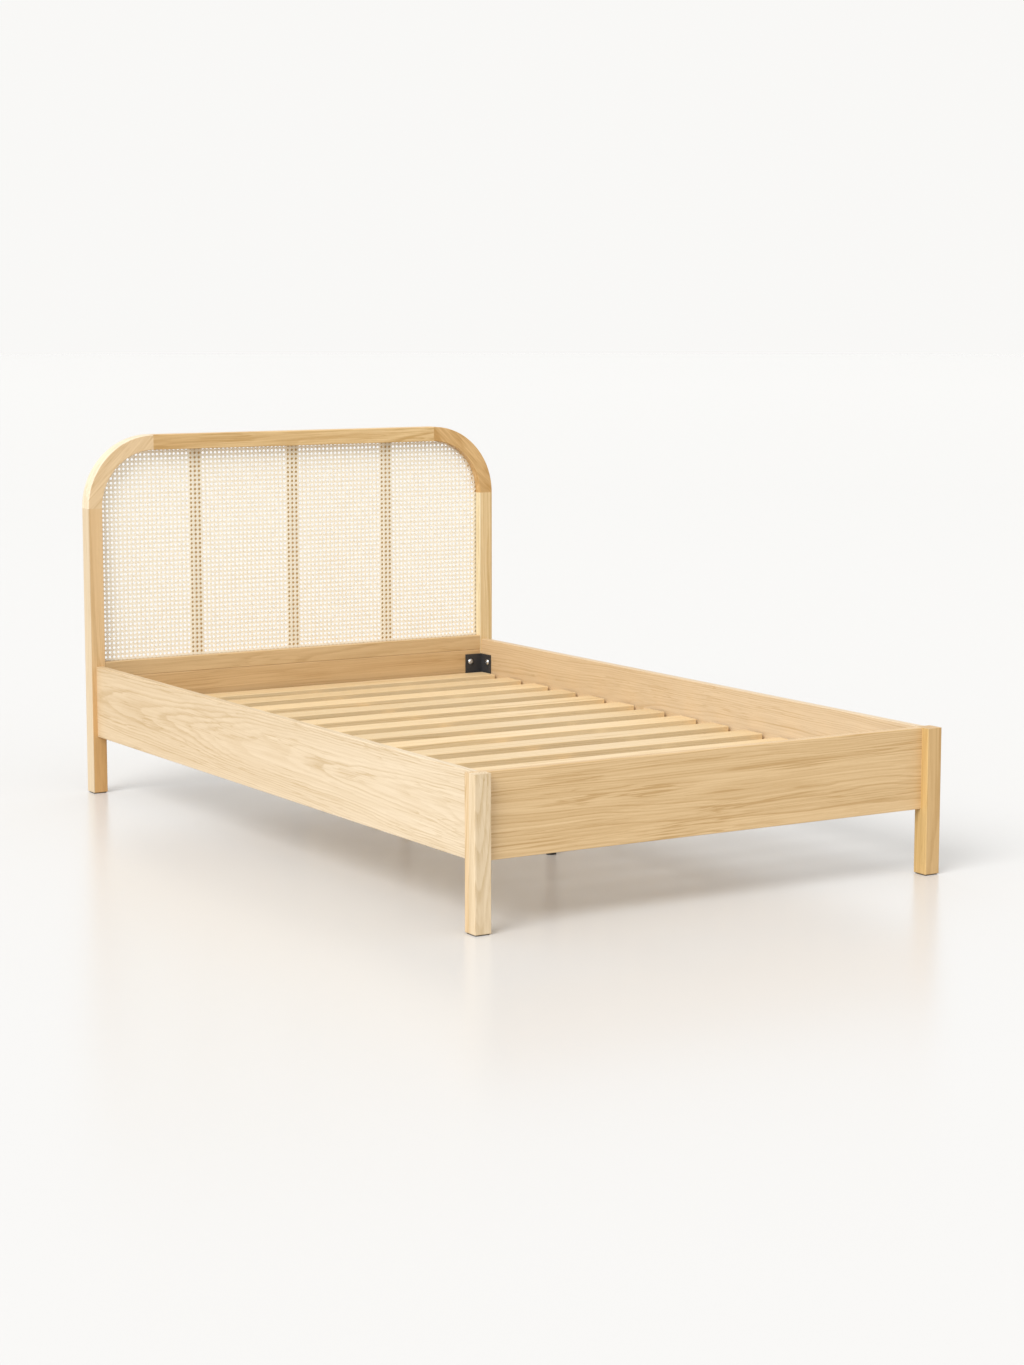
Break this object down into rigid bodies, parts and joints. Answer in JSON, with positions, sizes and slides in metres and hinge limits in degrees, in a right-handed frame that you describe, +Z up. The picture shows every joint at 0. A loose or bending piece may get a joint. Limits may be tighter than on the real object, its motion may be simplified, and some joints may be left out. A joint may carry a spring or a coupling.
{
  "type": "bed frame",
  "caption": "Light oak bed frame with an arched headboard filled with woven cane, thin side and foot rails, a slatted base and screw-adjustable centre legs.",
  "frame": {"origin": "on the floor, at the middle of the bed's plan (bottom centre of the bounding box)", "axes": "+X to the right as seen from the foot, +Y from the foot towards the headboard, +Z up"},
  "size_m": [1.29, 2.121, 0.99],
  "materials": {
    "oak_post": "clear matt lacquer on light oak, grain along each piece",
    "oak_board": "oak veneer, clear matt lacquer, long grain with a cathedral figure",
    "cane": "natural rattan cane, six-way weave, slightly glossy skin",
    "cane_frame": "light wood, plain sawn and sanded",
    "slat_wood": "pine, planed, no finish",
    "leg_wood": "beech, stained, matt",
    "dowel_wood": "fluted beech, no finish",
    "black_steel": "steel, matt black powder coat",
    "zinc": "zinc-plated steel",
    "brass": "zinc-alloy insert, yellow passivated",
    "tape": "woven white cotton tape",
    "pad_plastic": "moulded, matt black",
    "felt": "pressed brown felt"
  },
  "bodies": {
    "bed_frame": {"head_post_left": "oak_post", "head_post_right": "oak_post", "head_corner_left": "oak_post", "head_corner_right": "oak_post", "head_top_rail": "oak_post", "cane_bottom_rail": "oak_post", "foot_post_left": "oak_post", "foot_post_right": "oak_post", "side_rail_left": "oak_post", "side_rail_right": "oak_post", "head_rail": "oak_board", "foot_rail": "oak_board", "cane_panel": "cane", "cane_bar_left": "cane_frame", "cane_bar_middle": "cane_frame", "cane_bar_right": "cane_frame", "side_ledger_left": "slat_wood", "side_ledger_right": "slat_wood", "centre_beam": "slat_wood", "slat_01": "slat_wood", "slat_02": "slat_wood", "slat_03": "slat_wood", "slat_04": "slat_wood", "slat_05": "slat_wood", "slat_06": "slat_wood", "slat_07": "slat_wood", "slat_08": "slat_wood", "slat_09": "slat_wood", "slat_10": "slat_wood", "slat_11": "slat_wood", "slat_12": "slat_wood", "slat_13": "slat_wood", "slat_14": "slat_wood", "centre_leg_front": "leg_wood", "centre_leg_rear": "leg_wood", "beam_hanger_foot": "black_steel", "beam_hanger_head": "black_steel", "corner_bracket_foot_left": "black_steel", "corner_bracket_foot_right": "black_steel", "corner_bracket_head_left": "black_steel", "corner_bracket_head_right": "black_steel", "bracket_bolts": "zinc", "leg_bolts": "zinc", "leg_washers": "zinc", "leg_nuts": "zinc", "ledger_screws": "zinc", "hanger_screws": "zinc", "threaded_inserts": "brass", "slat_tape_left": "tape", "slat_tape_right": "tape", "dowels": "dowel_wood", "bar_dowels": "dowel_wood", "post_glides": "felt"},
    "front_leveller": {"leveller_pad_front": "pad_plastic", "leveller_screw_front": "zinc"},
    "rear_leveller": {"leveller_pad_rear": "pad_plastic", "leveller_screw_rear": "zinc"}
  },
  "joints": [
    {"name": "front_leveller_slide", "type": "slide", "parent": "bed_frame", "child": "front_leveller", "axis": [0, 0, 1], "range_m": [-0.014, 0.0005]},
    {"name": "rear_leveller_slide", "type": "slide", "parent": "bed_frame", "child": "rear_leveller", "axis": [0, 0, 1], "range_m": [-0.014, 0.0005]}
  ]
}
